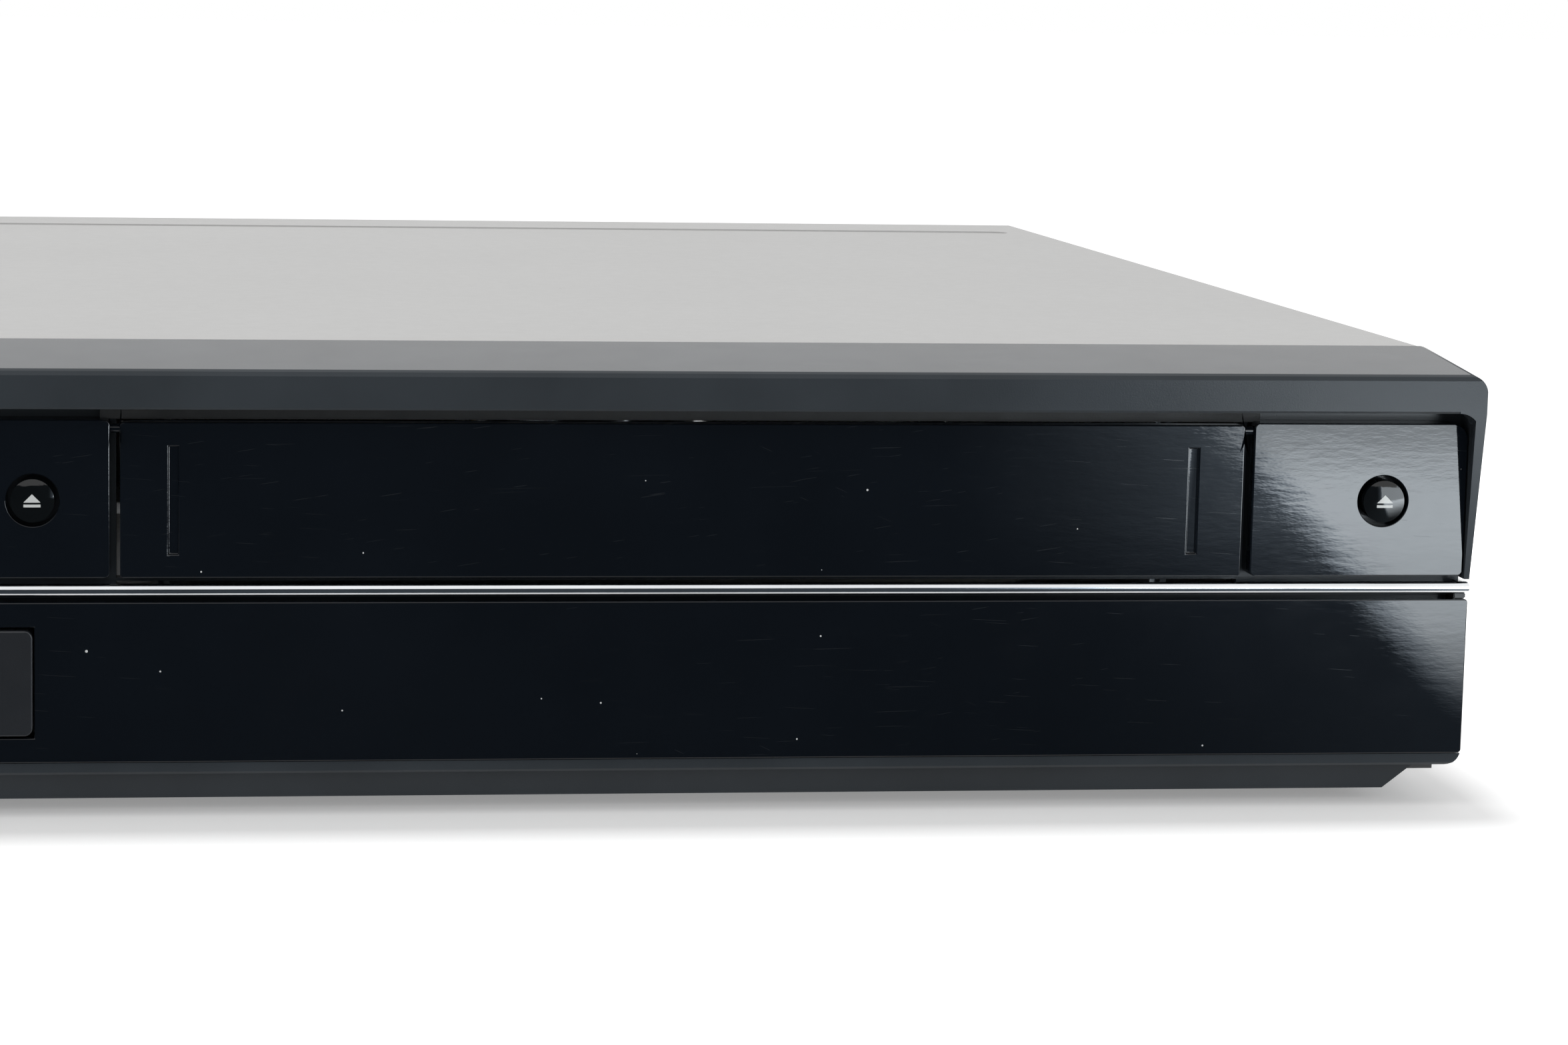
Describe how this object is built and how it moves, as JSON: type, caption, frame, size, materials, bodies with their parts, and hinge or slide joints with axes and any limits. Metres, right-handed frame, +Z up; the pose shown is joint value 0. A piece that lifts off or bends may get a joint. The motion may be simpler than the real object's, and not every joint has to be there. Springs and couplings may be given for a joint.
{
  "type": "disc and tape combination player",
  "caption": "Wide low home player with a sliding disc tray, an inward-swinging tape door, push buttons, tape deck, disc drive and rear sockets.",
  "frame": {"origin": "on the floor plane under the middle of the bounding box", "axes": "+X to the right seen from the front, +Y from the front to the back, +Z up"},
  "size_m": [0.43, 0.359, 0.084],
  "materials": {
    "cover_paint": "light grey satin paint on sheet steel",
    "zinc_steel": "zinc plated sheet steel",
    "bezel_plastic": "satin dark grey moulding",
    "gloss_black": "high gloss black moulding",
    "strip_metal": "bright plated strip",
    "button_plastic": "high gloss black dome",
    "key_plastic": "dark grey moulding",
    "record_plastic": "dark red moulding",
    "board_green": "green lacquered circuit board",
    "board_tan": "tan paper circuit board",
    "part_black": "black moulding",
    "display_glass": "dark display tube",
    "jack_metal": "plated socket shell",
    "frame_plastic": "dark grey structural moulding",
    "nylon_white": "off white moulding",
    "motor_steel": "pressed motor can",
    "ground_steel": "ground steel",
    "drum_metal": "turned aluminium",
    "capstan_metal": "turned brass and steel",
    "pickup_metal": "cast pickup body",
    "belt_rubber": "black rubber",
    "foot_rubber": "black rubber",
    "roller_rubber": "black rubber",
    "screw_steel": "dark plated screws"
  },
  "bodies": {
    "case": {"chassis_base": "zinc_steel", "rear_panel": "zinc_steel", "top_cover": "cover_paint", "front_bezel": "bezel_plastic", "left_fascia": "gloss_black", "right_fascia": "gloss_black", "chrome_strip": "strip_metal", "lower_fascia": "gloss_black", "front_boards": "board_tan", "key_switches": "part_black", "display_module": "display_glass", "front_jacks": "jack_metal", "drive_frame": "frame_plastic", "clamp_bridge": "zinc_steel", "gear_motors": "motor_steel", "tray_belt": "belt_rubber", "deck_plate": "zinc_steel", "lower_drum": "drum_metal", "capstan_housing": "motor_steel", "tape_heads": "motor_steel", "board_spacers": "zinc_steel", "main_board": "board_green", "power_board": "board_tan", "transformer": "motor_steel", "mains_inlet": "part_black", "rear_jacks": "jack_metal", "feet": "foot_rubber", "screws": "screw_steel"},
    "tray": {"disc_tray": "frame_plastic", "tray_front": "gloss_black"},
    "traverse_unit": {"traverse": "motor_steel", "traverse_motors": "motor_steel", "guide_rods": "ground_steel"},
    "pickup": {"optical_pickup": "pickup_metal"},
    "holder": {"cassette_holder": "zinc_steel"},
    "vcr_door_body": {"vcr_door": "gloss_black"},
    "eject_button_body": {"eject_button": "button_plastic"},
    "power_button_body": {"power_button": "button_plastic"},
    "open_button_body": {"open_button": "button_plastic"},
    "rewind_key_body": {"rewind_key": "key_plastic"},
    "play_key_body": {"play_key": "key_plastic"},
    "forward_key_body": {"forward_key": "key_plastic"},
    "stop_key_body": {"stop_key": "key_plastic"},
    "record_key_body": {"record_key": "record_plastic"},
    "channel_rocker_body": {"channel_rocker": "key_plastic"},
    "disc_clamp_body": {"disc_clamp": "nylon_white"},
    "turntable_body": {"turntable": "part_black"},
    "sled_screw_body": {"sled_screw": "ground_steel"},
    "tray_gear_body": {"tray_gear": "nylon_white"},
    "motor_pulley_body": {"motor_pulley": "nylon_white"},
    "upper_drum_body": {"upper_drum": "drum_metal"},
    "capstan_body": {"capstan": "capstan_metal"},
    "supply_reel_body": {"supply_reel": "nylon_white"},
    "takeup_reel_body": {"takeup_reel": "nylon_white"},
    "supply_guide_body": {"supply_guide": "ground_steel"},
    "takeup_guide_body": {"takeup_guide": "ground_steel"},
    "pinch_arm_body": {"pinch_arm": "zinc_steel"},
    "pinch_roller_body": {"pinch_roller": "roller_rubber"},
    "loading_pinion_body": {"loading_pinion": "nylon_white"},
    "cam_gear_body": {"cam_gear": "nylon_white"}
  },
  "joints": [
    {"name": "door_swing", "type": "hinge", "parent": "case", "child": "vcr_door_body", "pos_m": [0.0697, -0.173, 0.0703], "axis": [1, 0, 0], "range_deg": [0, 88], "stiffness_Nm_per_rad": 0.002, "springref_deg": -17.19},
    {"name": "tray_slide", "type": "slide", "parent": "case", "child": "tray", "axis": [0, -1, 0], "range_m": [0, 0.14]},
    {"name": "holder_drop", "type": "slide", "parent": "case", "child": "holder", "axis": [0, 0, -1], "range_m": [0, 0.019]},
    {"name": "eject_press", "type": "slide", "parent": "case", "child": "eject_button_body", "axis": [0, 1, 0], "range_m": [0, 0.0008], "stiffness_N_per_m": 900, "springref_m": -0.0006},
    {"name": "power_press", "type": "slide", "parent": "case", "child": "power_button_body", "axis": [0, 1, 0], "range_m": [0, 0.0008], "stiffness_N_per_m": 900, "springref_m": -0.0006},
    {"name": "open_press", "type": "slide", "parent": "case", "child": "open_button_body", "axis": [0, 1, 0], "range_m": [0, 0.0008], "stiffness_N_per_m": 900, "springref_m": -0.0006},
    {"name": "rewind_press", "type": "slide", "parent": "case", "child": "rewind_key_body", "axis": [0, 1, 0], "range_m": [0, 0.0008], "stiffness_N_per_m": 900, "springref_m": -0.0006},
    {"name": "play_press", "type": "slide", "parent": "case", "child": "play_key_body", "axis": [0, 1, 0], "range_m": [0, 0.0008], "stiffness_N_per_m": 900, "springref_m": -0.0006},
    {"name": "forward_press", "type": "slide", "parent": "case", "child": "forward_key_body", "axis": [0, 1, 0], "range_m": [0, 0.0008], "stiffness_N_per_m": 900, "springref_m": -0.0006},
    {"name": "stop_press", "type": "slide", "parent": "case", "child": "stop_key_body", "axis": [0, 1, 0], "range_m": [0, 0.0008], "stiffness_N_per_m": 900, "springref_m": -0.0006},
    {"name": "record_press", "type": "slide", "parent": "case", "child": "record_key_body", "axis": [0, 1, 0], "range_m": [0, 0.0008], "stiffness_N_per_m": 900, "springref_m": -0.0006},
    {"name": "channel_rock", "type": "hinge", "parent": "case", "child": "channel_rocker_body", "pos_m": [-0.052, -0.1719, 0.0247], "axis": [1, 0, 0], "range_deg": [-3.5, 3.5], "stiffness_Nm_per_rad": 0.03},
    {"name": "traverse_lift", "type": "hinge", "parent": "case", "child": "traverse_unit", "pos_m": [-0.125, 0.009, 0.0393], "axis": [-1, 0, 0], "range_deg": [0, 4.6]},
    {"name": "turntable_spin", "type": "hinge", "parent": "traverse_unit", "child": "turntable_body", "pos_m": [-0.125, -0.097, 0.04755], "axis": [0, 0, 1], "continuous": true},
    {"name": "clamp_spin", "type": "hinge", "parent": "case", "child": "disc_clamp_body", "pos_m": [-0.125, -0.097, 0.06355], "axis": [0, 0, 1], "continuous": true},
    {"name": "pickup_slide", "type": "slide", "parent": "traverse_unit", "child": "pickup", "axis": [0, 1, 0], "range_m": [0, 0.035]},
    {"name": "sled_spin", "type": "hinge", "parent": "traverse_unit", "child": "sled_screw_body", "pos_m": [-0.153, -0.0545, 0.04355], "axis": [0, 1, 0], "range_deg": [0, 4250]},
    {"name": "tray_gear_spin", "type": "hinge", "parent": "case", "child": "tray_gear_body", "pos_m": [-0.087, -0.146, 0.04955], "axis": [0, 0, 1], "range_deg": [-810, 0]},
    {"name": "motor_pulley_spin", "type": "hinge", "parent": "case", "child": "motor_pulley_body", "pos_m": [-0.13, -0.1445, 0.04], "axis": [0, 0, 1], "range_deg": [-2520, 0]},
    {"name": "drum_spin", "type": "hinge", "parent": "case", "child": "upper_drum_body", "pos_m": [0.0697, 0.011, 0.0242], "axis": [0, 0.1045, 0.9945], "continuous": true},
    {"name": "capstan_spin", "type": "hinge", "parent": "case", "child": "capstan_body", "pos_m": [0.128, -0.027, 0.0192], "axis": [0, 0, 1], "continuous": true},
    {"name": "supply_spin", "type": "hinge", "parent": "case", "child": "supply_reel_body", "pos_m": [0.0237, -0.093, 0.0192], "axis": [0, 0, 1], "continuous": true},
    {"name": "takeup_spin", "type": "hinge", "parent": "case", "child": "takeup_reel_body", "pos_m": [0.1157, -0.093, 0.0192], "axis": [0, 0, 1], "continuous": true},
    {"name": "threading_slide", "type": "slide", "parent": "case", "child": "supply_guide_body", "axis": [0, 1, 0], "range_m": [0, 0.04]},
    {"name": "takeup_guide_slide", "type": "slide", "parent": "case", "child": "takeup_guide_body", "axis": [0, 1, 0], "range_m": [0, 0.0402]},
    {"name": "cam_spin", "type": "hinge", "parent": "case", "child": "cam_gear_body", "pos_m": [0.1477, 0.0305, 0.0192], "axis": [0, 0, 1], "range_deg": [0, 181]},
    {"name": "pinion_spin", "type": "hinge", "parent": "case", "child": "loading_pinion_body", "pos_m": [0.1284, 0.0305, 0.0192], "axis": [0, 0, 1], "range_deg": [-543, 0]},
    {"name": "pinch_swing", "type": "hinge", "parent": "case", "child": "pinch_arm_body", "pos_m": [0.146, -0.005, 0.0522], "axis": [0, 0, -1], "range_deg": [0, 20.2]},
    {"name": "pinch_roller_spin", "type": "hinge", "parent": "pinch_arm_body", "child": "pinch_roller_body", "pos_m": [0.14488, -0.02882, 0.0392], "axis": [0, 0, 1], "continuous": true}
  ],
  "couplings": [
    {"joint": "tray_gear_spin", "follows": "tray_slide", "rad_per_m": -100},
    {"joint": "motor_pulley_spin", "follows": "tray_slide", "rad_per_m": -310.53},
    {"joint": "sled_spin", "follows": "pickup_slide", "rad_per_m": 2094.4},
    {"joint": "takeup_guide_slide", "follows": "threading_slide", "ratio": 1},
    {"joint": "cam_spin", "follows": "threading_slide", "rad_per_m": 78.54},
    {"joint": "pinion_spin", "follows": "threading_slide", "rad_per_m": -235.62},
    {"joint": "pinch_swing", "follows": "threading_slide", "rad_per_m": 8.7266}
  ]
}
